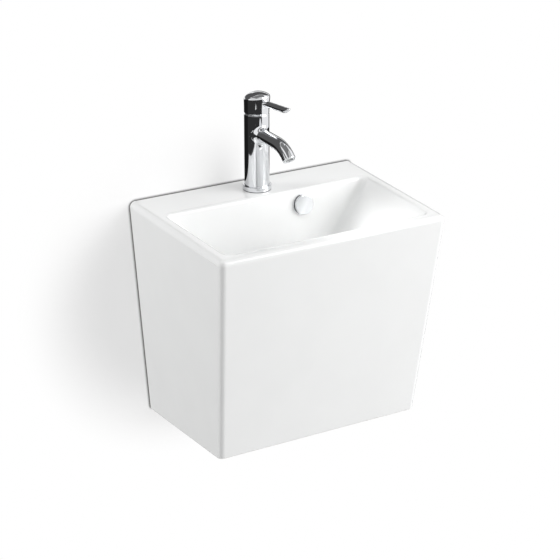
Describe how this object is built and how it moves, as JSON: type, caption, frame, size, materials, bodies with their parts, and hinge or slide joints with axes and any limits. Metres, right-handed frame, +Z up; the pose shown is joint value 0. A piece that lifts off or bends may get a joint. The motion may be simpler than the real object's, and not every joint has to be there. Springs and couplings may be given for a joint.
{
  "type": "wall hung basin",
  "caption": "Wall hung ceramic basin with a tapering full skirt, a rectangular bowl, a single-lever mixer tap, a push-open waste and a bottle trap.",
  "frame": {"origin": "on the wall plane at the back of the basin, half way between the two wall bolts", "axes": "+Y into the wall, -Y out of the wall towards the user, +Z up, +X to the right of a user who faces the wall"},
  "size_m": [0.4484, 0.3785, 0.5852],
  "materials": {
    "glaze": "glossy white glaze",
    "chrome": "bright chrome plate",
    "brass": "plain turned brass",
    "steel": "plain steel, satin",
    "rubber": "matt black",
    "trap_plastic": "white moulded plastic",
    "fitting_plastic": "pale grey moulded plastic",
    "disc_ceramic": "fine lapped ceramic"
  },
  "bodies": {
    "basin": {"basin_body": "glaze", "overflow_ring": "chrome", "overflow_cap": "chrome", "waste_body": "chrome", "tap_body": "chrome", "tap_base_ring": "chrome", "aerator_housing": "chrome", "wall_rosette": "chrome", "waste_backnut": "brass", "cartridge_nut": "brass", "tap_inlet_unions": "brass", "wall_bolts": "steel", "bolt_washers": "steel", "bolt_nuts": "steel", "tap_stud": "steel", "tap_stud_nut": "steel", "tap_horseshoe_plate": "steel", "waste_top_washer": "rubber", "waste_bottom_washer": "rubber", "trap_inlet_washer": "rubber", "trap_collar_seal": "rubber", "trap_cup_seal": "rubber", "trap_outlet_washer": "rubber", "tap_base_seal": "rubber", "tap_horseshoe_rubber": "rubber", "aerator_washer": "rubber", "cartridge_base_seal": "rubber", "trap_inlet_nut": "trap_plastic", "trap_riser": "trap_plastic", "trap_collar_nut": "trap_plastic", "trap_body": "trap_plastic", "trap_cup": "trap_plastic", "trap_outlet_nut": "trap_plastic", "trap_outlet_pipe": "trap_plastic", "overflow_sleeve": "fitting_plastic", "bolt_sleeves": "fitting_plastic", "click_barrel": "fitting_plastic", "aerator_insert": "fitting_plastic", "cartridge_housing": "fitting_plastic", "fixed_disc": "disc_ceramic"},
    "tap_rotor": {"cartridge_rotor": "fitting_plastic", "stem_pivot_pin": "steel"},
    "tap_handle": {"cartridge_stem": "steel", "handle_hub": "chrome", "handle_lever": "chrome", "handle_grub_screw": "steel", "handle_plug": "fitting_plastic"},
    "tap_disc": {"moving_disc": "disc_ceramic"},
    "plug": {"waste_plug": "chrome", "waste_plug_seal": "rubber", "click_spindle": "steel", "click_spring": "steel"}
  },
  "joints": [
    {"name": "handle_turn", "type": "hinge", "parent": "basin", "child": "tap_rotor", "pos_m": [0, -0.05, 0.198], "axis": [0, 0, 1], "range_deg": [-62, 38]},
    {"name": "lever_lift", "type": "hinge", "parent": "tap_rotor", "child": "tap_handle", "pos_m": [0, -0.05, 0.198], "axis": [-0.9781, -0.2079, 0], "range_deg": [0, 22]},
    {"name": "disc_slide", "type": "slide", "parent": "tap_rotor", "child": "tap_disc", "axis": [0.2079, -0.9781, 0], "range_m": [0, 0.0036]},
    {"name": "plug_lift", "type": "slide", "parent": "basin", "child": "plug", "axis": [0, 0, 1], "range_m": [0, 0.008], "deforming": ["click_spring"]}
  ],
  "couplings": [
    {"joint": "disc_slide", "follows": "lever_lift", "m_per_rad": 0.00915}
  ]
}
